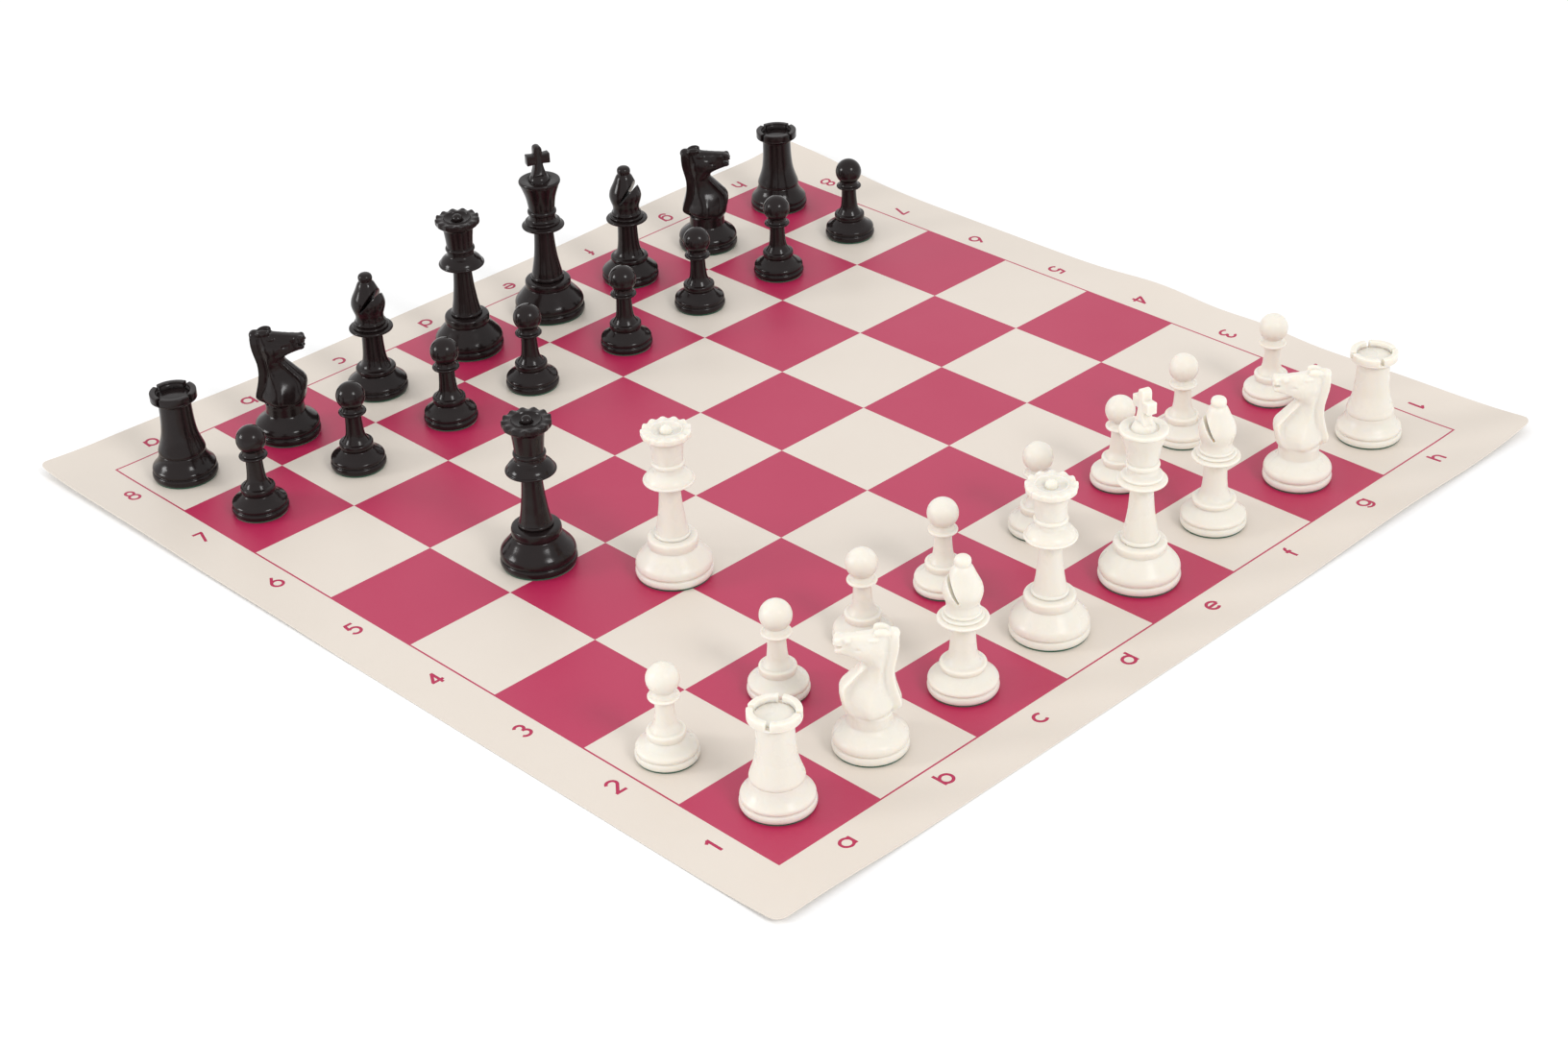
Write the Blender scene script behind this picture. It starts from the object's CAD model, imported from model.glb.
import math

import bmesh
import bpy
from mathutils import Matrix, Vector, geometry


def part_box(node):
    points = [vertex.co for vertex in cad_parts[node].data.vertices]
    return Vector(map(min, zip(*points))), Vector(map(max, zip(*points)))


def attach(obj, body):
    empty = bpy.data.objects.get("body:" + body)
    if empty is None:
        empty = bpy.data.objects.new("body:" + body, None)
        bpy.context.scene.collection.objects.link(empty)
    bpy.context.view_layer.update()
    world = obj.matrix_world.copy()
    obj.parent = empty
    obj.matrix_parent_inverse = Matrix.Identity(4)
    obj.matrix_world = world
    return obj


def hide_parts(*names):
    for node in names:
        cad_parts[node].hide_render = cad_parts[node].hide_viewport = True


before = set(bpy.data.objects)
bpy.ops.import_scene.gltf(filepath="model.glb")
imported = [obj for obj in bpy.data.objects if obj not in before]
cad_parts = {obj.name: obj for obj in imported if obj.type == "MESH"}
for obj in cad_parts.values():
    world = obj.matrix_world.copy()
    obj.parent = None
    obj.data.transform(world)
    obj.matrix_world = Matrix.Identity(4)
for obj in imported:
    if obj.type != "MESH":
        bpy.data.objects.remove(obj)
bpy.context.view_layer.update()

# --- Mat ---------------------------------------------------------------------------------------
# A sheet of soft vinyl with magenta squares printed on top. It is kept rolled up, so its corners
# and some stretches of its edges don't lie down flat. The middle lies flat under the chessmen.
mm = 0.001
square = 57.15 * mm
mat_low, mat_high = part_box("mat")
mat_half, mat_top = mat_high.x, mat_high.z
vinyl_cream = (0.700, 0.632, 0.560, 1)
vinyl_magenta = (0.430, 0.007, 0.070, 1)
vinyl_wear = (0.94, 0.93, 0.92, 1)
vinyl_skin = {"grain": 1600.0, "patch": 14.0, "roughness": 0.46, "spread": 0.16, "depth": 0.00003}
grid_half = 4 * square
frame_line = 0.9 * mm
print_margin = 0.1 * mm

# A stretch that stands up: the side it is on, how far along that side, half its length, its height
edge_reach = 31 * mm
edge_waves = [
    ((-1, 0), 0.185, 0.070, 0.0026),
    ((-1, 0), 0.065, 0.045, 0.0009),
    ((0, -1), -0.225, 0.038, 0.0018),
    ((0, -1), 0.153, 0.060, 0.0027),
    ((0, 1), -0.200, 0.060, 0.0026),
    ((0, 1), -0.020, 0.100, 0.0009),
    ((0, 1), 0.170, 0.070, 0.0034),
    ((1, 0), 0.228, 0.045, 0.0048),
    ((1, 0), -0.030, 0.034, 0.0034),
    ((1, 0), -0.095, 0.026, 0.0024),
    ((1, 0), -0.190, 0.050, 0.0026),
]
corner_reach = 52 * mm
corner_curls = [((-1, 1), 0.0032), ((-1, -1), 0.0014), ((1, -1), 0.0048), ((1, 1), 0.0032)]


def mat_lift(x, y):
    """How far the sheet stands off the table at that place."""
    rise = 0.0
    for (sx, sy), at, half_length, height in edge_waves:
        inward = mat_half - (sx * x + sy * y)
        along = abs(sx) * y + abs(sy) * x
        if inward < edge_reach:
            share = math.exp(-(((along - at) / half_length) ** 2))
            rise += height * (1 - inward / edge_reach) ** 2 * share
    for (sx, sy), height in corner_curls:
        inward = (2 * mat_half - sx * x - sy * y) / math.sqrt(2)
        if inward < corner_reach:
            rise += height * (1 - inward / corner_reach) ** 2
    return rise


def link(name, mesh):
    """A mesh as an object at the origin."""
    piece = bpy.data.objects.new(name, mesh)
    bpy.context.scene.collection.objects.link(piece)
    return piece


def finish_mesh(bm, name, material, smooth=True):
    """The bmesh as an object of its own, shaded smooth or flat."""
    mesh = bpy.data.meshes.new(name)
    bm.to_mesh(mesh)
    bm.free()
    mesh.polygons.foreach_set("use_smooth", [smooth] * len(mesh.polygons))
    mesh.materials.append(material)
    return link(name, mesh)


def new_material(name):
    """A node material: its tree, its Principled shader and a way to place a node with its values."""
    material = bpy.data.materials.new(name)
    material.use_nodes = True
    tree = material.node_tree
    shader = tree.nodes["Principled BSDF"]

    def place(kind, **inputs):
        node = tree.nodes.new(kind)
        for key, value in inputs.items():
            if hasattr(node, key):
                setattr(node, key, value)
            else:
                node.inputs[key].default_value = value
        return node

    return material, tree, shader, place


def skin_group():
    """Small changes over a moulded or calendered surface: a height, a roughness and a tint mask."""
    group = bpy.data.node_groups.new("surface_skin", "ShaderNodeTree")
    number = "NodeSocketFloat"
    for name, value in (("Grain Scale", 900.0), ("Patch Scale", 30.0),
                        ("Roughness", 0.3), ("Roughness Spread", 0.1)):
        group.interface.new_socket(name, in_out="INPUT", socket_type=number).default_value = value
    for name in ("Height", "Roughness", "Tint"):
        group.interface.new_socket(name, in_out="OUTPUT", socket_type=number)
    nodes, links = group.nodes, group.links
    inside, outside = nodes.new("NodeGroupInput"), nodes.new("NodeGroupOutput")
    where = nodes.new("ShaderNodeTexCoord")
    grain, patch = nodes.new("ShaderNodeTexNoise"), nodes.new("ShaderNodeTexNoise")
    grain.inputs["Detail"].default_value, patch.inputs["Detail"].default_value = 2, 3
    for noise_node, socket in ((grain, "Grain Scale"), (patch, "Patch Scale")):
        links.new(where.outputs["Object"], noise_node.inputs["Vector"])
        links.new(inside.outputs[socket], noise_node.inputs["Scale"])
    spread, total = nodes.new("ShaderNodeMath"), nodes.new("ShaderNodeMath")
    spread.operation, total.operation = "MULTIPLY_ADD", "ADD"
    spread.inputs[2].default_value = 0
    centred = nodes.new("ShaderNodeMath")
    centred.operation = "SUBTRACT"
    centred.inputs[1].default_value = 0.5
    links.new(patch.outputs["Fac"], centred.inputs[0])
    links.new(centred.outputs[0], spread.inputs[0])
    links.new(inside.outputs["Roughness Spread"], spread.inputs[1])
    links.new(spread.outputs[0], total.inputs[0])
    links.new(inside.outputs["Roughness"], total.inputs[1])
    links.new(grain.outputs["Fac"], outside.inputs["Height"])
    links.new(total.outputs[0], outside.inputs["Roughness"])
    links.new(patch.outputs["Fac"], outside.inputs["Tint"])
    return group


surface_skin = skin_group()


def skin(tree, shader, place, grain, patch, roughness, spread, depth):
    """Places the surface group in a material and feeds its roughness and its bump."""
    group = place("ShaderNodeGroup", node_tree=surface_skin)
    for name, value in (("Grain Scale", grain), ("Patch Scale", patch),
                        ("Roughness", roughness), ("Roughness Spread", spread)):
        group.inputs[name].default_value = value
    bump = place("ShaderNodeBump", Distance=depth, Strength=1.0)
    tree.links.new(group.outputs["Height"], bump.inputs["Height"])
    tree.links.new(group.outputs["Roughness"], shader.inputs["Roughness"])
    tree.links.new(bump.outputs["Normal"], shader.inputs["Normal"])
    return group


def vinyl_material():
    """Cream vinyl with the magenta squares and the frame line printed on its top."""
    material, tree, shader, place = new_material("printed_vinyl")
    link_up = tree.links.new
    where = place("ShaderNodeTexCoord")
    axes = place("ShaderNodeSeparateXYZ")
    link_up(where.outputs["Object"], axes.inputs[0])

    def calc(operation, a, b=0.0, c=0.0):
        node = place("ShaderNodeMath", operation=operation)
        for i, value in enumerate((a, b, c)):
            if isinstance(value, (int, float)):
                node.inputs[i].default_value = value
            else:
                link_up(value, node.inputs[i])
        return node.outputs[0]

    column = calc("FLOOR", calc("DIVIDE", axes.outputs["X"], square))
    row = calc("FLOOR", calc("DIVIDE", axes.outputs["Y"], square))
    dark = calc("SUBTRACT", 1.0, calc("FLOORED_MODULO", calc("ADD", column, row), 2.0))
    reach = calc("MAXIMUM", calc("ABSOLUTE", axes.outputs["X"]), calc("ABSOLUTE", axes.outputs["Y"]))
    on_grid = calc("LESS_THAN", reach, grid_half)
    past_grid = calc("ABSOLUTE", calc("SUBTRACT", reach, grid_half))
    on_line = calc("LESS_THAN", past_grid, frame_line / 2)
    on_top = calc("GREATER_THAN", axes.outputs["Z"], mat_top - print_margin)
    printed = calc("MULTIPLY", calc("MAXIMUM", calc("MULTIPLY", dark, on_grid), on_line), on_top)

    group = skin(tree, shader, place, **vinyl_skin)
    ink = place("ShaderNodeMix", data_type="RGBA")
    ink.inputs["A"].default_value, ink.inputs["B"].default_value = vinyl_cream, vinyl_magenta
    worn = place("ShaderNodeMix", data_type="RGBA", blend_type="MULTIPLY")
    worn.inputs["B"].default_value = vinyl_wear
    link_up(printed, ink.inputs["Factor"])
    link_up(ink.outputs["Result"], worn.inputs["A"])
    link_up(group.outputs["Tint"], worn.inputs["Factor"])
    link_up(worn.outputs["Result"], shader.inputs["Base Color"])
    shader.inputs["IOR"].default_value = 1.5
    shader.inputs["Specular IOR Level"].default_value = 0.8
    return material


vinyl = vinyl_material()
corner_round = 5 * mm
mat_cells = 170
rim_angle = 0.8
bm = bmesh.new()
bmesh.ops.create_grid(bm, x_segments=mat_cells, y_segments=mat_cells, size=mat_half)
for v in bm.verts:
    past = [max(abs(c) - (mat_half - corner_round), 0) for c in v.co.xy]
    if min(past) > 0:
        inward = 1 - max(past) / math.hypot(*past)
        v.co.x -= math.copysign(past[0] * inward, v.co.x)
        v.co.y -= math.copysign(past[1] * inward, v.co.y)
    v.co.z = mat_low.z + mat_lift(v.co.x, v.co.y)
shell = bm.faces[:] + bm.edges[:] + bm.verts[:]
bmesh.ops.solidify(bm, geom=shell, thickness=mat_top - mat_low.z)
lowest = min(v.co.z for v in bm.verts)
bmesh.ops.translate(bm, verts=bm.verts, vec=(0, 0, mat_low.z - lowest))
bmesh.ops.recalc_face_normals(bm, faces=bm.faces)
for edge in bm.edges:
    edge.smooth = edge.calc_face_angle(0) < rim_angle
mat = finish_mesh(bm, "vinyl_mat", vinyl)
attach(mat, "mat")
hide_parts("mat")

# --- Coordinates -------------------------------------------------------------------------------
# The files a to h and the ranks 1 to 8, printed in the margin in the same magenta ink. White reads
# the near and left ones; those on the far and right sides are turned round for Black.
glyph_high = 8.0 * mm
glyph_middle = 0.48
glyph_pitch = 57.5 * mm
letter_line = grid_half + 8.9 * mm
stroke = 1.5 * mm
ink_lift = 0.03 * mm
ink_worn = (0.39, 0.006, 0.060, 1)


def bend(cx, cy, rx, ry, start, end, steps=20):
    """Points along part of an ellipse, in shares of the glyph's height."""
    angles = [math.radians(start + (end - start) * i / steps) for i in range(steps + 1)]
    return [(cx + rx * math.cos(a), cy + ry * math.sin(a)) for a in angles]


bowl = bend(0, 0.36, 0.36, 0.36, 0, 360, 28)
glyphs = {
    "a": [bowl, [(0.36, 0.72), (0.36, 0)]],
    "b": [bowl, [(-0.36, 1), (-0.36, 0)]],
    "c": [bend(0, 0.36, 0.36, 0.36, 48, 312)],
    "d": [bowl, [(0.36, 1), (0.36, 0)]],
    "e": [bend(0, 0.36, 0.36, 0.36, 0, 312), [(-0.36, 0.36), (0.36, 0.36)]],
    "f": [bend(0.24, 0.8, 0.2, 0.2, 90, 180) + [(0.04, 0)], [(-0.16, 0.64), (0.24, 0.64)]],
    "g": [bend(0, 0.6, 0.34, 0.34, 0, 360, 28), [(0.34, 0.94)] + bend(0, 0.3, 0.34, 0.34, 0, -150)],
    "h": [[(-0.28, 1), (-0.28, 0)], [(-0.28, 0.32)] + bend(0, 0.4, 0.28, 0.3, 180, 0) + [(0.28, 0)]],
    "1": [[(0.06, 1.06), (0.06, -0.06)], [(-0.18, 0.80), (0.08, 1.0)]],
    "2": [bend(0, 0.74, 0.3, 0.28, 165, -35) + [(-0.3, -0.06)], [(-0.38, -0.04), (0.32, -0.04)]],
    "3": [bend(0, 0.77, 0.26, 0.25, 155, -90), bend(0, 0.24, 0.31, 0.28, 90, -155)],
    "4": [[(0.12, -0.06), (0.12, 1.04)], [(0.14, 1.0), (-0.36, 0.2)], [(-0.42, 0.22), (0.34, 0.22)]],
    "5": [[(0.28, 1.02), (-0.24, 1.02)], [(-0.17, 1.02), (-0.25, 0.5)],
          bend(0, 0.28, 0.32, 0.33, 140, -155)],
    "6": [bend(0, 0.28, 0.33, 0.33, 0, 360, 28), [(-0.31, 0.42), (0.1, 1.04)]],
    "7": [[(-0.3, 1.02), (0.36, 1.02)], [(0.3, 1.04), (-0.1, -0.06)]],
    "8": [bend(0, 0.78, 0.25, 0.25, 0, 360, 28), bend(0, 0.24, 0.32, 0.29, 0, 360, 28)],
}


def print_glyph(bm, character, x, y, turn):
    """One character in flat strokes, with its middle at that place on the mat."""
    rotation = Matrix.Rotation(turn, 2)
    for line in glyphs[character]:
        curve = bpy.data.curves.new("ink_stroke", "CURVE")
        curve.dimensions = "3D"
        curve.bevel_depth, curve.bevel_resolution, curve.use_fill_caps = stroke / 2, 2, True
        closed = (Vector(line[0]) - Vector(line[-1])).length < 1e-4
        points = line[:-1] if closed else line
        spline = curve.splines.new("POLY")
        spline.points.add(len(points) - 1)
        spline.use_cyclic_u = closed
        for point, (px, py) in zip(spline.points, points):
            place = rotation @ (Vector((px, py - glyph_middle)) * glyph_high)
            point.co = (x + place.x, y + place.y, 0, 1)
        holder = bpy.data.objects.new("ink_stroke", curve)
        bm.from_mesh(holder.to_mesh())
        holder.to_mesh_clear()
        bpy.data.objects.remove(holder)
        bpy.data.curves.remove(curve)


bm = bmesh.new()
for i, (letter, digit) in enumerate(zip("abcdefgh", "12345678")):
    along = (i - 3.5) * glyph_pitch
    print_glyph(bm, letter, along, -letter_line, 0)
    print_glyph(bm, digit, -letter_line, along, 0)
    print_glyph(bm, letter, along, letter_line, math.pi)
    print_glyph(bm, digit, letter_line, along, math.pi)
for v in bm.verts:
    v.co.z = mat_top + mat_lift(v.co.x, v.co.y) + v.co.z * 2 * ink_lift / stroke
ink, tree, shader, place = new_material("magenta_ink")
group = skin(tree, shader, place, **vinyl_skin)
worn = place("ShaderNodeMix", data_type="RGBA", A=vinyl_magenta, B=ink_worn)
tree.links.new(group.outputs["Tint"], worn.inputs["Factor"])
tree.links.new(worn.outputs["Result"], shader.inputs["Base Color"])
coordinates = finish_mesh(bm, "printed_coordinates", ink)
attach(coordinates, "mat")

# --- Pawns -------------------------------------------------------------------------------------
# Each chessman is a hollow injection moulding, black or ivory, turned in shape, with soft edges
# and a gloss skin. A pawn has one shoulder, a plain drum, a thin stem, one collar and a ball.


def smooth_run(points, steps=3):
    """A smooth curve through the points."""
    line = [Vector(p) for p in points]
    if len(line) < 3:
        return line
    out = []
    for i in range(len(line) - 1):
        a, b = line[i], line[i + 1]
        before, after = line[max(i - 1, 0)], line[min(i + 2, len(line) - 1)]
        reach = (b - a).length
        lead = (b - before) / max(reach + (a - before).length, 1e-9)
        trail = (after - a) / max((after - b).length + reach, 1e-9)
        first, second = a + lead * reach / 3, b - trail * reach / 3
        out += geometry.interpolate_bezier(a, first, second, b, steps)[:-1]
    return out + [line[-1]]


def outline(runs, edge=0.3):
    """The half section of a turned piece, in millimetres: smooth runs that meet in soft edges."""
    line, corners = [], set()
    for run in runs:
        points = smooth_run(run)
        if line and (line[-1] - points[0]).length < 1e-6:
            points = points[1:]
            corners.add(len(line) - 1)
        elif line:
            corners.update((len(line) - 1, len(line)))
        line += points
    soft = []
    for i, point in enumerate(line):
        if i in corners and 0 < i < len(line) - 1:
            back, on = line[i - 1] - point, line[i + 1] - point
            a = point + back.normalized() * min(edge, back.length * 0.45)
            b = point + on.normalized() * min(edge, on.length * 0.45)
            soft += [a, (a + point * 2 + b) / 4, b]
        else:
            soft.append(point)
    return soft


def turned(runs, steps=104, edge=0.3):
    """A closed turned shape from its half section, as a bmesh in metres with its foot at zero."""
    bm = bmesh.new()
    line = [bm.verts.new((max(p.x, 0) * mm, 0, p.y * mm)) for p in outline(runs, edge)]
    edges = [bm.edges.new(pair) for pair in zip(line, line[1:])]
    bmesh.ops.spin(bm, geom=line + edges, cent=(0, 0, 0), axis=(0, 0, 1), steps=steps,
                   angle=2 * math.pi, use_merge=True)
    bmesh.ops.remove_doubles(bm, verts=bm.verts, dist=1e-6)
    bmesh.ops.recalc_face_normals(bm, faces=bm.faces)
    return bm


def ring(radius, low, high, roundness=None):
    """The rim of a foot, a bead or a collar: a rounded band between two heights."""
    middle, half = (low + high) / 2, (high - low) / 2
    bulge = half if roundness is None else roundness
    angles = [math.radians(a) for a in range(-90, 91, 15)]
    return [(radius - bulge + bulge * math.cos(a), middle + half * math.sin(a)) for a in angles]


def pocket(radius, height, rim):
    """The hollow for the weight, then the flat underside out to where the rim starts to round."""
    return [[(0, height), (radius, height)], [(radius, height), (radius, felt_high)],
            [(radius, felt_high), (rim, felt_high)]]


def plastic(name, colour, dim_colour, roughness, scatter, mirror):
    """Gloss moulded plastic with a faint flow mottle and the fine ripple of a polished mould."""
    material, tree, shader, place = new_material(name)
    group = skin(tree, shader, place, grain=420.0, patch=95.0, roughness=roughness, spread=0.14,
                 depth=0.00004)
    mottle = place("ShaderNodeMix", data_type="RGBA", A=colour, B=dim_colour)
    tree.links.new(group.outputs["Tint"], mottle.inputs["Factor"])
    tree.links.new(mottle.outputs["Result"], shader.inputs["Base Color"])
    shader.inputs["IOR"].default_value = 1.5
    shader.inputs["Specular IOR Level"].default_value = mirror
    shader.inputs["Subsurface Weight"].default_value = scatter
    shader.inputs["Subsurface Radius"].default_value = (0.0035, 0.0029, 0.0022)
    shader.inputs["Subsurface Scale"].default_value = 1.0
    return material


felt_high, rim_round = 0.8, 0.8
black, black_dim = (0.009, 0.006, 0.006, 1), (0.014, 0.009, 0.009, 1)
ivory, ivory_dim = (0.765, 0.735, 0.67, 1), (0.735, 0.70, 0.625, 1)
plastics = {
    "black": plastic("black_plastic", black, black_dim, roughness=0.17, scatter=0.0, mirror=0.24),
    "white": plastic("ivory_plastic", ivory, ivory_dim, roughness=0.28, scatter=0.75, mirror=0.22),
}
chessmen = []


def stand(pattern, name, turn=0.0):
    """A copy of the pattern where that chessman stands, turned about its own middle."""
    low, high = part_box(name)
    middle = (low + high) / 2
    bm = pattern.copy()
    spot = Matrix.Translation((middle.x, middle.y, mat_top))
    bmesh.ops.transform(bm, matrix=spot @ Matrix.Rotation(math.radians(turn), 4, "Z"), verts=bm.verts)
    side = name.split("_")[0]
    piece = finish_mesh(bm, name + "_moulding", plastics[side])
    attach(piece, name)
    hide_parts(name)
    chessmen.append((name, middle))
    return piece


pawn_foot, pawn_pocket, pawn_pocket_top = 13.5, 8.1, 7.05
ball_radius, ball_middle, pawn_top = 7.05, 38.2, 45.25
pawn = turned(pocket(pawn_pocket, pawn_pocket_top, pawn_foot - rim_round) + [
    ring(pawn_foot, felt_high, 3.9, rim_round),
    [(12.7, 3.9), (12.5, 4.2), (12.9, 4.5)],
    [(12.9, 4.5), (13.1, 5.2), (12.8, 6.2), (11.8, 7.0), (10.3, 7.9), (8.9, 9.1), (7.7, 10.3)],
    [(7.7, 10.3), (8.1, 11.2), (8.2, 12.6), (8.05, 13.5), (7.4, 13.8), (6.5, 13.9)],
    [(6.5, 13.9), (6.1, 14.6), (5.3, 15.9), (4.75, 17.2), (4.45, 19), (4.2, 21.5), (4.0, 25),
     (3.95, 29.1)],
    [(3.95, 29.1), (5.6, 29.0)],
    ring(6.75, 29.1, 30.5, 0.7)[1:],
    [(6.05, 30.5), (5.4, 30.7), (5.0, 31.4), (4.7, 33.0)],
    [(ball_radius * math.cos(math.radians(a)), ball_middle + ball_radius * math.sin(math.radians(a)))
     for a in range(-47, 91, 6)] + [(0, pawn_top)],
])
for side in ("black", "white"):
    for letter in "abcdefgh":
        stand(pawn, f"{side}_pawn_{letter}")

# --- Rooks -------------------------------------------------------------------------------------
# A tapering tower on the same kind of foot. The flared top is a shallow cup whose wall is parted
# into four merlons by four narrow slots.
rook_foot, rook_pocket, rook_pocket_top = 15.8, 11.3, 8.5
battlement, cup, slot_floor, rook_top = 11.2, 8.4, 42.5, 45.8
merlon_turn, merlon_root, merlon_edge = 80, 0.2, 0.35
rook = turned(pocket(rook_pocket, rook_pocket_top, rook_foot - rim_round) + [
    ring(rook_foot, felt_high, 4.1, rim_round),
    [(15.0, 4.1), (14.8, 4.4), (15.2, 4.8)],
    [(15.2, 4.8), (15.4, 5.4), (15.1, 6.4), (14.3, 7.3), (13.2, 8.6), (12.3, 10), (11.6, 11.5),
     (11.2, 13)],
    [(11.2, 13), (11.0, 13.3), (11.3, 13.6)],
    [(11.3, 13.6), (11.4, 14.4), (11.25, 15.3), (10.6, 17.2), (9.9, 19.2), (9.2, 21.6), (8.6, 24.4),
     (8.2, 28), (7.95, 32), (7.85, 36), (7.8, 39.5)],
    [(7.8, 39.5), (8.1, 39.9), (9.6, 40.9), (battlement, 41.9)],
    [(battlement, 41.9), (battlement, slot_floor)], [(battlement, slot_floor), (cup, slot_floor)],
    [(cup, slot_floor), (cup, slot_floor + 0.5)], [(cup, slot_floor + 0.5), (0, slot_floor + 0.5)],
])


def carve(bm, cutter, operation="DIFFERENCE"):
    """The shape with the cutter taken out of it, or joined to it by a union."""
    meshes = []
    for part in (bm, cutter):
        mesh = bpy.data.meshes.new("carving")
        part.to_mesh(mesh)
        part.free()
        meshes.append(mesh)
    body, tool = link("carving", meshes[0]), link("cutter", meshes[1])
    cut = body.modifiers.new("cut", "BOOLEAN")
    cut.operation, cut.object, cut.solver = operation, tool, "EXACT"
    view = bpy.context.evaluated_depsgraph_get()
    result = bpy.data.meshes.new_from_object(body.evaluated_get(view))
    out = bmesh.new()
    out.from_mesh(result)
    for piece in (body, tool):
        bpy.data.objects.remove(piece)
    for mesh in (*meshes, result):
        bpy.data.meshes.remove(mesh)
    return out


def sharp_edges(bm, angle):
    """The edges whose faces turn by more than that angle, in radians."""
    return [e for e in bm.edges if len(e.link_faces) == 2 and e.calc_face_angle() > angle]


def soften(bm, edges, offset, segments=3):
    """Rounds the edges by that many millimetres."""
    bmesh.ops.bevel(bm, geom=edges, offset=offset * mm, offset_type="OFFSET", affect="EDGES",
                    segments=segments, profile=0.5, material=-1, clamp_overlap=True)


for quarter in range(4):
    half = math.radians(merlon_turn / 2)
    middle = math.radians(90 * quarter + 45)
    corners = [(cup, slot_floor - merlon_root), (battlement, slot_floor - merlon_root),
               (battlement, rook_top), (cup, rook_top)]
    block = bmesh.new()
    section = [block.verts.new((r * mm, 0, z * mm)) for r, z in corners]
    face = block.faces.new(section)
    bmesh.ops.rotate(block, verts=block.verts, cent=(0, 0, 0),
                     matrix=Matrix.Rotation(middle - half, 3, "Z"))
    bmesh.ops.spin(block, geom=[face] + list(face.edges) + section, cent=(0, 0, 0), axis=(0, 0, 1),
                   steps=20, angle=2 * half)
    bmesh.ops.recalc_face_normals(block, faces=block.faces)
    soften(block, sharp_edges(block, 0.9), merlon_edge)
    rook = carve(rook, block, "UNION")
stand(rook, "black_rook_a", 15)
stand(rook, "black_rook_h", 1)
stand(rook, "white_rook_a", 30)
stand(rook, "white_rook_h", 55)

# --- Bishops -----------------------------------------------------------------------------------
# Three rings of falling size over the collar carry the mitre, an egg with a slot sawn into one
# side of its crown at a slant, and a small flattened ball on top.
bishop_foot, bishop_pocket, bishop_pocket_top = 15.3, 10.1, 7.45
slot_wide, slot_opens, slot_slant, slot_edge = 1.3, 2.5, 31.0, 0.18
slot_root, slot_low, slot_high, saw_size = (0.2, 0, 46.4), 46, 59, 20
bishop = turned(pocket(bishop_pocket, bishop_pocket_top, bishop_foot - rim_round) + [
    ring(bishop_foot, felt_high, 4.1, rim_round),
    [(14.5, 4.1), (14.3, 4.4), (14.8, 4.8)],
    [(14.8, 4.8), (15.1, 5.4), (14.8, 6.3), (13.9, 7.1), (12.5, 8.3), (11.1, 9.4), (9.9, 10.4),
     (9.3, 11.0)],
    [(9.3, 11.0), (9.9, 11.8), (10.1, 13.2), (9.7, 13.9), (8.6, 14.1)],
    [(8.6, 14.1), (7.7, 14.7), (6.9, 16.1), (6.2, 18), (5.75, 21), (5.45, 25), (5.3, 30), (5.3, 34.9)],
    [(5.3, 34.9), (9.4, 34.8)], ring(11.1, 34.8, 36.2, 0.7)[1:],
    [(10.4, 36.2), (8.5, 36.5)], ring(9.1, 36.5, 37.8, 0.6), [(8.5, 37.8), (7.4, 38.2)],
    ring(8.0, 38.2, 39.7, 0.6), [(7.4, 39.7), (7.1, 40.8), (7.1, 43.0), (7.5, 44.4), (8.1, 46.2),
     (8.6, 48.6), (8.4, 50.6), (7.9, 52.3), (7.1, 54), (6.1, 56), (5.2, 58), (4.3, 60), (3.3, 61.3)],
    [(3.3, 61.3), (3.5, 62.0), (3.6, 63.2), (3.2, 64.4), (2.1, 65.2), (0, 65.5)],
], steps=128)
saw = bmesh.new()
bmesh.ops.create_cube(saw, size=1)
bmesh.ops.scale(saw, verts=saw.verts, vec=(slot_wide * mm, saw_size * mm, saw_size * mm))
bmesh.ops.scale(saw, verts=[v for v in saw.verts if v.co.z > 0], vec=(slot_opens, 1, 1))
bmesh.ops.translate(saw, verts=saw.verts, vec=(0, 0, saw_size / 2 * mm))
bmesh.ops.rotate(saw, verts=saw.verts, cent=(0, 0, 0),
                 matrix=Matrix.Rotation(math.radians(slot_slant), 3, "Y"))
bmesh.ops.translate(saw, verts=saw.verts, vec=Vector(slot_root) * mm)
bishop = carve(bishop, saw)
lips = [e for e in sharp_edges(bishop, 0.8)
        if slot_low * mm < (e.verts[0].co.z + e.verts[1].co.z) / 2 < slot_high * mm]
soften(bishop, lips, slot_edge, segments=2)
stand(bishop, "black_bishop_c", -70)
stand(bishop, "black_bishop_f", -65)
stand(bishop, "white_bishop_c", 121)
stand(bishop, "white_bishop_f", 121)

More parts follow.
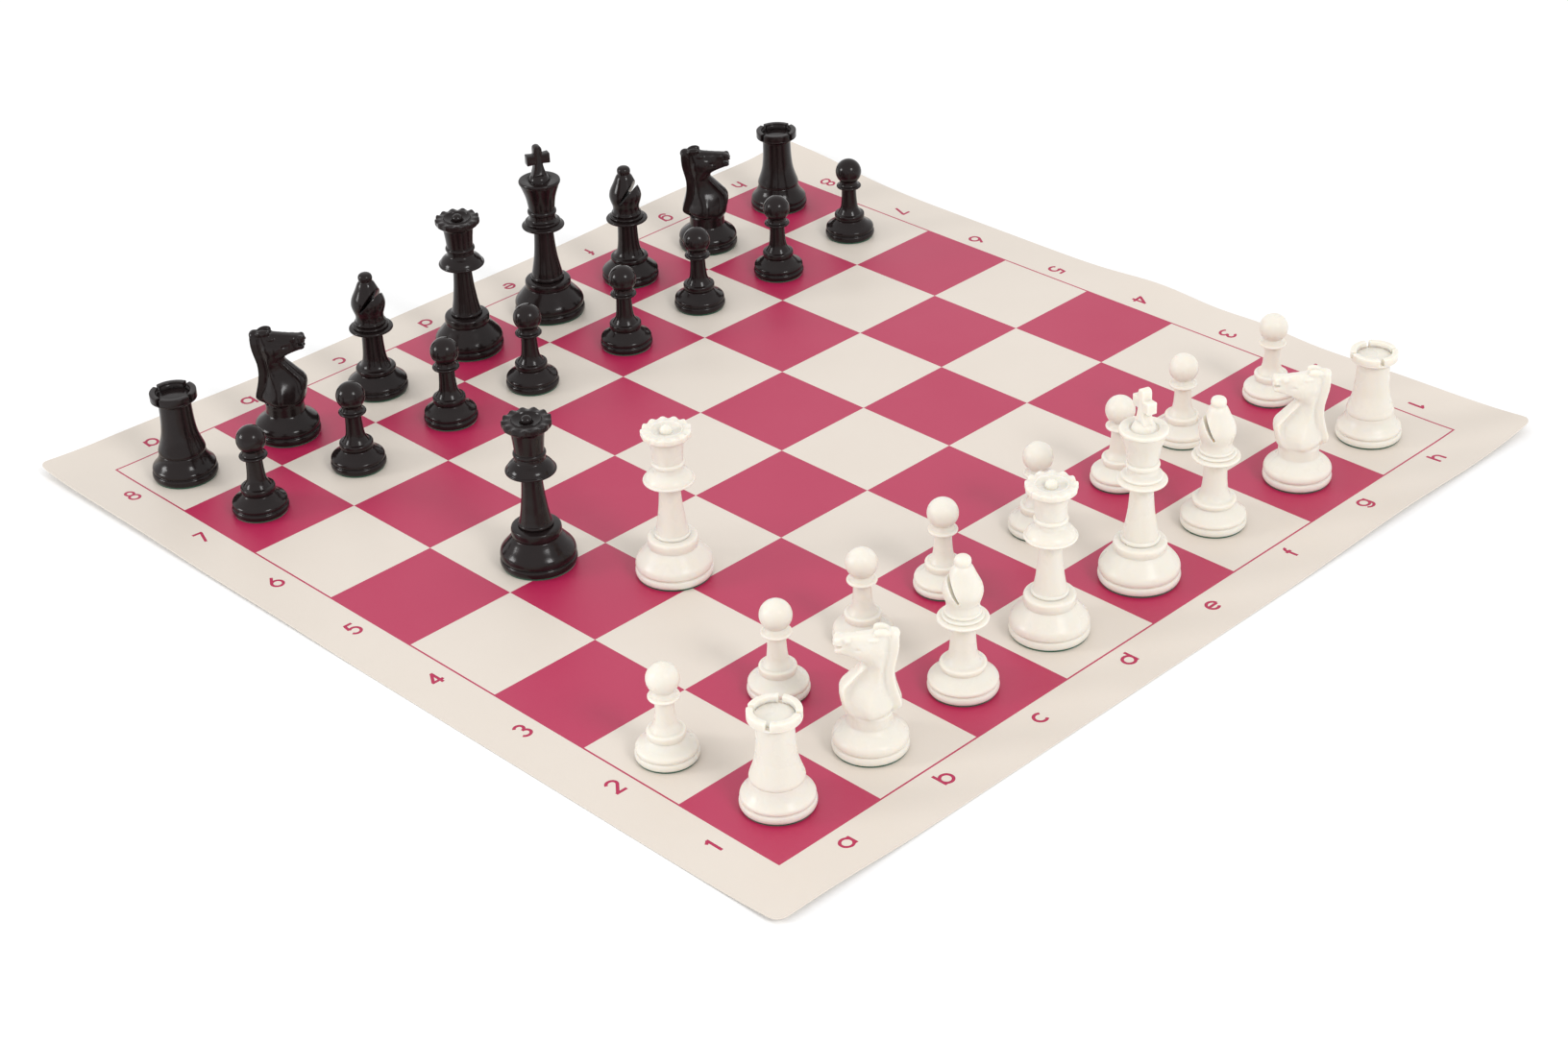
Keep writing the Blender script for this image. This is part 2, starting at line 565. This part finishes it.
# --- Queens ------------------------------------------------------------------------------------
# A wide thin collar, a beaded neck and a slightly flared head under a coronet. Round notches
# pressed into the coronet's edge leave points between them, and a ball sits in its dish.
queen_foot, tall_rim_round, slug_gap = 17.7, 0.9, 0.2
weight_low, weight_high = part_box("black_queen_weight")
queen_pocket = (weight_high.x - weight_low.x) / 2 / mm + slug_gap
queen_pocket_top = (weight_high.z - mat_top) / mm + slug_gap
scallops, coronet_edge, coronet_top, dish_edge = 13, 11.4, 74.1, 7.2
trough_deep, trough_in, trough_low, inner_dip = 1.0, 7.6, 70.2, 0.5
pinch_share, pinch_in, pinch_low = 0.04, 10, 70.5
queen_ball, queen_ball_middle = 2.75, 73.0
queen = turned(pocket(queen_pocket, queen_pocket_top, queen_foot - tall_rim_round) + [
    ring(queen_foot, felt_high, 4.4, tall_rim_round),
    [(16.8, 4.4), (16.7, 4.7), (17.2, 5.0)],
    [(17.2, 5.0), (17.5, 5.8), (17.4, 6.8), (17.1, 8), (16.4, 9.1), (15.5, 10.2), (14.5, 11.3),
     (13.4, 12.6), (12.3, 13.9), (11.1, 15.1)],
    [(11.1, 15.1), (11.5, 16.2), (11.5, 18.6), (11.1, 19.6), (10.2, 19.9)],
    [(10.2, 19.9), (8.4, 20.1)], ring(8.2, 20.1, 21.9, 0.7),
    [(7.5, 21.9), (7.2, 23.2), (6.8, 25.4), (6.3, 28.2), (5.9, 31.5), (5.45, 35), (5.1, 39), (4.85, 43),
     (4.75, 47.9)],
    [(4.75, 47.9), (9.0, 47.9)], ring(11.7, 47.9, 49.3, 0.7)[1:],
    [(11.0, 49.3), (10.4, 50.6), (9.2, 52), (7.7, 53.1)],
    [(7.7, 53.1), (7.0, 53.9), (6.9, 55.9)], ring(7.55, 55.9, 58.2, 0.8),
    [(6.75, 58.2), (6.85, 60.0), (7.2, 64), (7.75, 68.2)],
    [(7.75, 68.2), (8.1, 68.9), (9.7, 69.9), (11.1, 70.9), (coronet_edge, 71.6)],
    [(coronet_edge, 71.6), (coronet_edge, 72.4), (coronet_edge, 73.4), (11.2, coronet_top)],
    [(11.2, coronet_top), (10.2, coronet_top), (9.2, coronet_top), (8.2, coronet_top),
     (dish_edge, coronet_top)],
    [(dish_edge, coronet_top), (6.6, 73.2), (5.4, 72.5), (3.9, 72.1), (0, 72.0)],
], steps=scallops * 12)
for v in queen.verts:
    radius, angle = math.hypot(v.co.x, v.co.y) / mm, math.atan2(v.co.y, v.co.x)
    across = (angle / math.tau * scallops) % 1 * 2 - 1
    wave = 0.5 * (1 + math.cos(math.pi * across))
    out = min(max((radius - trough_in) / (coronet_edge - trough_in), 0), 1)
    limit = max(coronet_top - inner_dip * (1 - out) - wave * trough_deep * out ** 1.3, trough_low)
    if v.co.z / mm > limit and radius > dish_edge + 0.1:
        v.co.z = limit * mm
    if v.co.z / mm > pinch_low and radius > pinch_in:
        pinch = 1 - pinch_share * wave * min(v.co.z / mm - pinch_low, 1)
        v.co.x, v.co.y = v.co.x * pinch, v.co.y * pinch
ball = turned([[(queen_ball * math.cos(math.radians(a)),
                 queen_ball_middle + queen_ball * math.sin(math.radians(a)))
                for a in range(-90, 91, 9)]], steps=40)
queen = carve(queen, ball, "UNION")
stand(queen, "black_queen", 8)
stand(queen, "black_queen_spare", 4)
stand(queen, "white_queen", 12)
stand(queen, "white_queen_spare", 0)

# --- Kings -------------------------------------------------------------------------------------
# The tallest: a collar with a smaller disc on it, a beaded neck, and a head that flares to a
# rimmed crown. A low dome in the crown carries a plain cross with a waisted foot.
king_foot = 18.5
weight_low, weight_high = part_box("black_king_weight")
king_pocket = (weight_high.x - weight_low.x) / 2 / mm + slug_gap
king_pocket_top = (weight_high.z - mat_top) / mm + slug_gap
cross_thick, arm_low, arm_high, cross_tip, cross_edge = 4.7, 85.5, 90.3, 95.3, 0.45
king = turned(pocket(king_pocket, king_pocket_top, king_foot - tall_rim_round) + [
    ring(king_foot, felt_high, 4.5, tall_rim_round),
    [(17.6, 4.5), (17.5, 4.8), (17.9, 5.1)],
    [(17.9, 5.1), (18.2, 6.0), (18.15, 7.2), (17.8, 8.3), (17.1, 9.4), (16.2, 10.5), (15.1, 11.8),
     (13.9, 13.2), (12.7, 14.5), (11.6, 15.6)],
    [(11.6, 15.6), (12.0, 16.8), (12.0, 18.7), (11.6, 19.5), (10.6, 19.8)],
    [(10.6, 19.8), (9.0, 20.0)], ring(8.8, 20.0, 22.2, 0.8),
    [(8.0, 22.2), (7.85, 24), (7.4, 26.2), (6.9, 28.8), (6.4, 31.6), (5.95, 35), (5.55, 39.4),
     (5.25, 44), (5.1, 49.8)],
    [(5.1, 49.8), (9.0, 49.7)], ring(11.2, 49.7, 51.1, 0.7)[1:],
    [(10.5, 51.1), (9.7, 51.5), (8.8, 52.0)], ring(9.3, 52.0, 53.5, 0.6),
    [(8.7, 53.5), (7.3, 54.0), (6.9, 55.0), (6.8, 57.0)], ring(7.65, 57.0, 59.6, 0.9),
    [(6.75, 59.6), (7.0, 61), (7.3, 63.4), (7.7, 65.7), (8.3, 68), (9.1, 70.4), (9.9, 72.6),
     (10.3, 73.8)],
    [(10.3, 73.8), (10.5, 74.2)], ring(10.95, 74.2, 76.3, 0.7), [(10.2, 76.3), (6.7, 76.3)],
    [(6.7, 76.3), (6.3, 75.6)], [(6.3, 75.6), (5.6, 75.6)],
    [(5.6, 75.6), (5.3, 76.8), (4.7, 78.0), (3.6, 79.0), (2.0, 79.6), (0, 79.8)],
], steps=112)
half_cross = [(3.9, 78.6), (3.4, 80.2), (2.75, 82.4), (2.3, 84.4), (2.2, arm_low),
              (6.2, arm_low - 0.35), (6.2, arm_high + 0.35), (2.15, arm_high), (2.15, 93.2),
              (1.9, 94.3), (1.25, 95.0), (0, cross_tip)]
cross = bmesh.new()
rim = [cross.verts.new((x * mm, -cross_thick / 2 * mm, z * mm)) for x, z in half_cross]
rim += [cross.verts.new((-x * mm, -cross_thick / 2 * mm, z * mm)) for x, z in reversed(half_cross[:-1])]
front = cross.faces.new(rim)
back = bmesh.ops.extrude_face_region(cross, geom=[front])["geom"]
bmesh.ops.translate(cross, verts=[v for v in back if isinstance(v, bmesh.types.BMVert)],
                    vec=(0, cross_thick * mm, 0))
bmesh.ops.recalc_face_normals(cross, faces=cross.faces)
soften(cross, sharp_edges(cross, 0.5), cross_edge)
king = carve(king, cross, "UNION")
stand(king, "black_king", -23)
stand(king, "white_king", 71)

# --- Knights -----------------------------------------------------------------------------------
# A horse's head and chest carved in one with a round pedestal. A flat mane runs down the back to a
# kicked-out point, sharp ridges border the breast, and the mouth is open under a straight nose.
knight_foot, knight_pocket, knight_pocket_top = 16.1, 9.6, 8.6
# Height, back and front; half widths of the mane, the groove beside it, the body and the hollow
# behind the front ridge; where the body and the hollow are widest and narrowest; the front ridge
horse_sections = [
    (19.2, -10.0, 9.7, 3.2, 6.9, 9.6, 7.6, 0.0, 5.8, 5.2),
    (20.0, -11.2, 10.5, 3.5, 6.9, 10.4, 7.6, 0.0, 6.2, 5.5),
    (21.0, -12.4, 11.0, 3.8, 6.6, 10.8, 7.3, 0.1, 6.5, 5.8),
    (22.2, -13.1, 11.2, 4.0, 6.2, 10.8, 6.8, 0.2, 6.8, 6.0),
    (24.0, -12.8, 11.5, 3.9, 5.6, 10.5, 6.2, 0.2, 7.2, 6.0),
    (26.0, -12.2, 12.0, 3.8, 5.0, 9.7, 5.4, 0.0, 7.7, 5.9),
    (28.2, -11.6, 12.3, 3.7, 4.5, 8.4, 4.5, -0.4, 7.9, 5.7),
    (30.2, -11.05, 12.2, 3.6, 4.1, 7.0, 3.9, -1.0, 7.7, 5.4),
    (32.2, -10.65, 11.1, 3.5, 3.8, 5.9, 3.4, -1.8, 6.6, 5.1),
    (34.2, -10.35, 9.2, 3.4, 3.6, 5.2, 3.1, -2.6, 4.8, 4.8),
    (36.2, -10.2, 7.4, 3.3, 3.5, 4.8, 3.0, -3.2, 3.1, 4.6),
    (38.2, -10.2, 5.6, 3.2, 3.5, 4.7, 3.1, -3.7, 1.5, 4.3),
    (39.8, -10.35, 4.1, 3.2, 3.5, 4.8, 3.4, -3.8, 0.3, 4.0),
    (41.2, -10.6, 3.1, 3.2, 3.5, 5.0, 3.9, -3.8, -0.3, 3.7),
    (42.6, -10.9, 3.0, 3.2, 3.6, 5.2, 4.5, -3.4, 0.0, 3.6),
    (43.8, -11.2, 4.0, 3.2, 3.6, 5.4, 4.6, -2.6, 1.2, 3.5),
    (45.0, -11.5, 6.4, 3.1, 3.6, 5.7, 4.3, -1.8, 3.6, 3.2),
    (46.2, -11.75, 9.4, 3.1, 3.6, 5.9, 3.7, -1.2, 5.6, 3.0),
    (47.2, -12.0, 12.2, 3.1, 3.6, 5.9, 3.3, -0.9, 7.0, 3.1),
    (48.4, -12.15, 13.0, 3.1, 3.6, 5.9, 3.2, -0.7, 7.2, 3.3),
    (50.0, -12.3, 13.5, 3.1, 3.6, 5.6, 3.0, -0.8, 7.4, 3.5),
    (51.6, -12.4, 14.0, 3.1, 3.6, 5.0, 2.8, -1.4, 7.8, 3.6),
    (52.8, -12.4, 14.1, 3.0, 3.5, 4.4, 2.5, -2.0, 7.8, 3.4),
    (53.8, -12.4, 13.8, 3.0, 3.4, 4.0, 2.2, -2.4, 7.6, 2.9),
    (54.6, -12.2, 11.6, 2.9, 3.3, 3.7, 2.1, -3.0, 4.8, 2.4),
    (55.3, -11.8, 4.6, 2.8, 3.1, 3.4, 2.2, -4.2, 0.0, 2.0),
    (56.0, -11.2, -1.2, 2.5, 2.8, 3.0, 2.2, -5.2, -3.4, 1.8),
]
mane_deep = 3.6
pedestal_rings = [(12.4, 9.7), (15.0, 9.5), (17.4, 9.4), (18.5, 9.5)]
skin_fine, cut_fine = 0.34, 0.25
mouth_size, mouth_tilt, mouth_at = (4.2, 1, 0.9), 8, (14.6, 0, 50.0)


def horse_side(section):
    """One side of a section, from the middle of the back to the middle of the front."""
    height, back, front, mane, groove, body, hollow, body_at, hollow_at, breast = section
    short = min(1.0, (front - back) / 12)
    edge = back + mane_deep * short
    runs = [
        ([(back, 0), (back - 0.15, mane * 0.5), (back, mane)], 2),
        ([(back, mane), (edge, mane + 0.35)], 3),
        ([(edge, mane + 0.35), (edge + 0.7 * short, groove - 0.5)], 2),
        ([(edge + 0.7 * short, groove - 0.5), ((edge + body_at) / 2 + 0.4, (groove + body) / 2 + 0.5),
          (body_at, body), ((body_at + hollow_at) / 2, (body + hollow) / 2 + 0.15),
          (hollow_at, hollow)], 4),
        ([(hollow_at, hollow), ((hollow_at + front) / 2, (hollow + breast) / 2 - 0.25),
          (front - 1.7 * short, breast)], 3),
        ([(front - 1.7 * short, breast), (front - 0.5 * short, breast - 1.1)], 2),
        ([(front - 0.5 * short, breast - 1.1), (front, (breast - 1.1) * 0.5), (front, 0)], 3),
    ]
    line = []
    for points, steps in runs:
        part = smooth_run(points, steps + 1) if len(points) > 2 else [
            Vector(points[0]).lerp(Vector(points[1]), i / steps) for i in range(steps + 1)]
        line += part if not line else part[1:]
    return line


horse = bmesh.new()
loops = []
share_count = len(horse_side(horse_sections[0]))
for height, radius in pedestal_rings:
    angles = [math.pi * i / (share_count - 1) for i in range(share_count)]
    side = [Vector((-radius * math.cos(a), radius * math.sin(a))) for a in angles]
    loops.append((height, side))
loops += [(section[0], horse_side(section)) for section in horse_sections]
rims = []
for height, side in loops:
    loop = [horse.verts.new((p.x * mm, p.y * mm, height * mm)) for p in side]
    loop += [horse.verts.new((p.x * mm, -p.y * mm, height * mm)) for p in reversed(side[1:-1])]
    rims.append([horse.edges.new((a, b)) for a, b in zip(loop, loop[1:] + loop[:1])])
for low_rim, high_rim in zip(rims, rims[1:]):
    bmesh.ops.bridge_loops(horse, edges=low_rim + high_rim)
bmesh.ops.holes_fill(horse, edges=[e for e in horse.edges if e.is_boundary], sides=0)
bmesh.ops.recalc_face_normals(horse, faces=horse.faces)


def lump(size, at, tilt=0.0, lean=0.0, yaw=0.0):
    """An egg of that size in millimetres, nodded forward by tilt, leaned sideways and turned."""
    egg = bmesh.new()
    bmesh.ops.create_uvsphere(egg, u_segments=24, v_segments=16, radius=0.5 * mm)
    bmesh.ops.scale(egg, verts=egg.verts, vec=size)
    for angle, axis in ((tilt, "Y"), (lean, "X"), (yaw, "Z")):
        bmesh.ops.rotate(egg, verts=egg.verts, cent=(0, 0, 0),
                         matrix=Matrix.Rotation(math.radians(angle), 3, axis))
    bmesh.ops.translate(egg, verts=egg.verts, vec=Vector(at) * mm)
    return egg


def melt(parts, voxel=skin_fine):
    """The shapes run together into one closed skin."""
    whole = bmesh.new()
    for part in parts:
        mesh = bpy.data.meshes.new("melting")
        part.to_mesh(mesh)
        part.free()
        whole.from_mesh(mesh)
        bpy.data.meshes.remove(mesh)
    mesh = bpy.data.meshes.new("melting")
    whole.to_mesh(mesh)
    blank = link("melting", mesh)
    remesh = blank.modifiers.new("melt", "REMESH")
    remesh.mode, remesh.voxel_size = "VOXEL", voxel * mm
    view = bpy.context.evaluated_depsgraph_get()
    result = bpy.data.meshes.new_from_object(blank.evaluated_get(view))
    whole.clear()
    whole.from_mesh(result)
    bpy.data.objects.remove(blank)
    for spent in (mesh, result):
        bpy.data.meshes.remove(spent)
    return whole


# The poll, and the gap between the ears
raised = [lump((6.0, 6.2, 5.4), (-10.0, 0, 54.8), 10)]
sunk = [lump((9.5, 1.6, 4.4), (-5.4, 0, 59.2), -12)]
for side in (1, -1):
    # Ear, brow, eye, side of the nose, nostril, upper lip, lower jaw and cheek
    raised += [
        lump((7.2, 3.4, 3.8), (-5.6, side * 2.3, 56.4), -8, 0, side * 6),
        lump((4.6, 2.4, 2.0), (-2.2, side * 3.6, 53.9), 6),
        lump((2.3, 1.9, 2.1), (-2.0, side * 3.9, 52.2), 0),
        lump((3.2, 2.4, 2.4), (8.4, side * 2.1, 53.0), 10),
        lump((3.2, 2.6, 2.8), (12.3, side * 2.0, 53.3), 20),
        lump((3.0, 3.0, 2.0), (13.0, side * 1.5, 51.6), 6),
        lump((3.6, 3.2, 2.4), (12.0, side * 1.5, 48.3), -6),
        lump((9.6, 3.4, 8.2), (-1.6, side * 4.1, 48.0), 24),
    ]
    # Nostril's hole, hollow before the eye, hollow behind the ear and hollow above the jaw
    sunk += [
        lump((1.4, 1.6, 1.2), (13.7, side * 2.9, 53.5), 20),
        lump((7.6, 2.4, 2.6), (3.6, side * 5.0, 52.2), 4),
        lump((1.1, 3.0, 2.4), (-8.9, side * 4.0, 54.8), 6),
        lump((7.5, 2.4, 2.4), (6.6, side * 4.6, 49.6), 2),
    ]
mouth = bmesh.new()
bmesh.ops.create_cone(mouth, cap_ends=True, segments=24, radius1=1 * mm, radius2=1 * mm, depth=20 * mm)
bmesh.ops.rotate(mouth, verts=mouth.verts, cent=(0, 0, 0),
                 matrix=Matrix.Rotation(math.pi / 2, 3, "X"))
bmesh.ops.scale(mouth, verts=mouth.verts, vec=mouth_size)
bmesh.ops.rotate(mouth, verts=mouth.verts, cent=(0, 0, 0),
                 matrix=Matrix.Rotation(math.radians(mouth_tilt), 3, "Y"))
bmesh.ops.translate(mouth, verts=mouth.verts, vec=Vector(mouth_at) * mm)
horse = carve(melt([horse] + raised), melt(sunk + [mouth], cut_fine))
horse = melt([horse])
for _ in range(3):
    bmesh.ops.smooth_vert(horse, verts=horse.verts, factor=0.5, use_axis_x=True, use_axis_y=True,
                          use_axis_z=True)
knight = turned(pocket(knight_pocket, knight_pocket_top, knight_foot - rim_round) + [
    ring(knight_foot, felt_high, 4.3, rim_round),
    [(15.3, 4.3), (15.1, 4.6), (15.6, 5.0)],
    [(15.6, 5.0), (15.9, 5.8), (15.7, 7.2), (15.0, 8.4), (13.8, 9.5), (12.4, 10.6), (11.0, 11.8),
     (10.0, 12.9)],
    [(10.0, 12.9), (9.6, 13.6), (9.4, 14.8)], [(9.4, 14.8), (0, 14.8)],
], steps=112)
knight = carve(knight, horse, "UNION")
stand(knight, "black_knight_b", -45)
stand(knight, "black_knight_g", -45)
stand(knight, "white_knight_b", 135)
stand(knight, "white_knight_g", 135)

# --- Felts -------------------------------------------------------------------------------------
# A punched disc of green wool felt glued under every chessman, a little smaller than the foot.
felt_green, felt_pale = (0.010, 0.060, 0.032, 1), (0.022, 0.105, 0.058, 1)
felt_inset, glue, felt_round = 0.75, 0.1, 0.12
felt, tree, shader, place = new_material("green_felt")
group = skin(tree, shader, place, grain=2600.0, patch=700.0, roughness=0.95, spread=0.05,
             depth=0.00018)
fibre = place("ShaderNodeMix", data_type="RGBA", A=felt_green, B=felt_pale)
tree.links.new(group.outputs["Tint"], fibre.inputs["Factor"])
tree.links.new(fibre.outputs["Result"], shader.inputs["Base Color"])
shader.inputs["Sheen Weight"].default_value = 0.4
shader.inputs["Sheen Roughness"].default_value = 0.5
foot_radii = {"king": king_foot, "queen": queen_foot, "bishop": bishop_foot, "knight": knight_foot,
              "rook": rook_foot, "pawn": pawn_foot}
for name, middle in chessmen:
    radius = foot_radii[name.split("_")[1]] - felt_inset
    top = felt_high - glue
    disc = turned([[(0, top), (radius - 0.1, top), (radius, top - 0.15)],
                   [(radius, top - 0.15), (radius, felt_round)],
                   [(radius, felt_round), (radius - 0.1, 0), (0, 0)]], steps=72, edge=0.05)
    bmesh.ops.translate(disc, verts=disc.verts, vec=(middle.x, middle.y, mat_top))
    piece = finish_mesh(disc, name + "_felt_disc", felt)
    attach(piece, name)
    if name + "_felt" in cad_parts:
        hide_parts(name + "_felt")

# --- Weights -----------------------------------------------------------------------------------
# A plain steel slug dropped into the hollow of each base before the felt is glued over it.
steel, tree, shader, place = new_material("weight_steel")
steel_bright, steel_dull = (0.42, 0.42, 0.43, 1), (0.30, 0.29, 0.28, 1)
group = skin(tree, shader, place, grain=700.0, patch=160.0, roughness=0.42, spread=0.2,
             depth=0.00002)
sawn = place("ShaderNodeMix", data_type="RGBA", A=steel_bright, B=steel_dull)
tree.links.new(group.outputs["Tint"], sawn.inputs["Factor"])
tree.links.new(sawn.outputs["Result"], shader.inputs["Base Color"])
shader.inputs["Metallic"].default_value = 1.0
slugs = {"bishop": (bishop_pocket, bishop_pocket_top), "knight": (knight_pocket, knight_pocket_top),
         "rook": (rook_pocket, rook_pocket_top), "pawn": (pawn_pocket, pawn_pocket_top)}
for name, middle in chessmen:
    kind = name.split("_")[1]
    if kind in slugs:
        radius, top = slugs[kind][0] - slug_gap, slugs[kind][1] - slug_gap
        slug = turned([[(0, top), (radius, top)], [(radius, top), (radius, felt_high)],
                       [(radius, felt_high), (0, felt_high)]], steps=48)
        bmesh.ops.translate(slug, verts=slug.verts, vec=(middle.x, middle.y, mat_top))
        piece = finish_mesh(slug, name + "_slug", steel)
        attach(piece, name)
    else:
        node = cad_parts[name + "_weight"]
        node.data.materials.clear()
        node.data.materials.append(steel)

# --- Table, light and camera -------------------------------------------------------------------
# A white table top in a bright room, one soft box low on the left and one above the right
# shoulder of the camera.
table_white, table_half, table_gap = (0.93, 0.93, 0.93, 1), 12, 0.3 * mm
room_light = 0.95
floor_white, tree, shader, place = new_material("white_table")
shader.inputs["Base Color"].default_value = table_white
shader.inputs["Roughness"].default_value = 0.9
bm = bmesh.new()
bmesh.ops.create_grid(bm, x_segments=1, y_segments=1, size=table_half)
bmesh.ops.translate(bm, verts=bm.verts, vec=(0, 0, mat_low.z - table_gap))
table = finish_mesh(bm, "table_top", floor_white, smooth=False)

world = bpy.data.worlds.new("bright_room")
world.use_nodes = True
sky = world.node_tree.nodes["Background"]
sky.inputs["Color"].default_value = (1, 1, 1, 1)
sky.inputs["Strength"].default_value = room_light
bpy.context.scene.world = world

# Where the camera stands over the mat, and the three directions of its frame
camera_at = Vector((-0.82404, -0.86382, 0.67798 + mat_top))
right = Vector((0.7083539, -0.70495719, -0.03563867))
down = Vector((-0.38522871, -0.34379052, -0.8563918))
forward = Vector((0.59146732, 0.62035751, -0.5150951))
for name, toward, distance, size, power in (
    ("left_box", right * -0.94 - down * 0.19 - forward * 0.28, 3.0, 0.8, 27),
    ("right_box", right * 0.46 - down * 0.23 - forward * 0.855, 3.2, 0.8, 30),
):
    lamp = bpy.data.lights.new(name, "AREA")
    lamp.shape, lamp.size, lamp.energy = "SQUARE", size, power
    holder = bpy.data.objects.new(name, lamp)
    holder.location = toward.normalized() * distance
    holder.rotation_euler = toward.to_track_quat("Z", "Y").to_euler()
    bpy.context.scene.collection.objects.link(holder)

camera = bpy.data.cameras.new("camera")
camera.sensor_fit, camera.sensor_width, camera.lens = "HORIZONTAL", 36, 65.21
camera.clip_start, camera.clip_end = 0.05, 40
holder = bpy.data.objects.new("camera", camera)
turn = Matrix((right, -down, -forward)).transposed().to_4x4()
holder.matrix_world = Matrix.Translation(camera_at) @ turn
bpy.context.scene.collection.objects.link(holder)
bpy.context.scene.camera = holder
bpy.context.scene.view_settings.view_transform = "Standard"
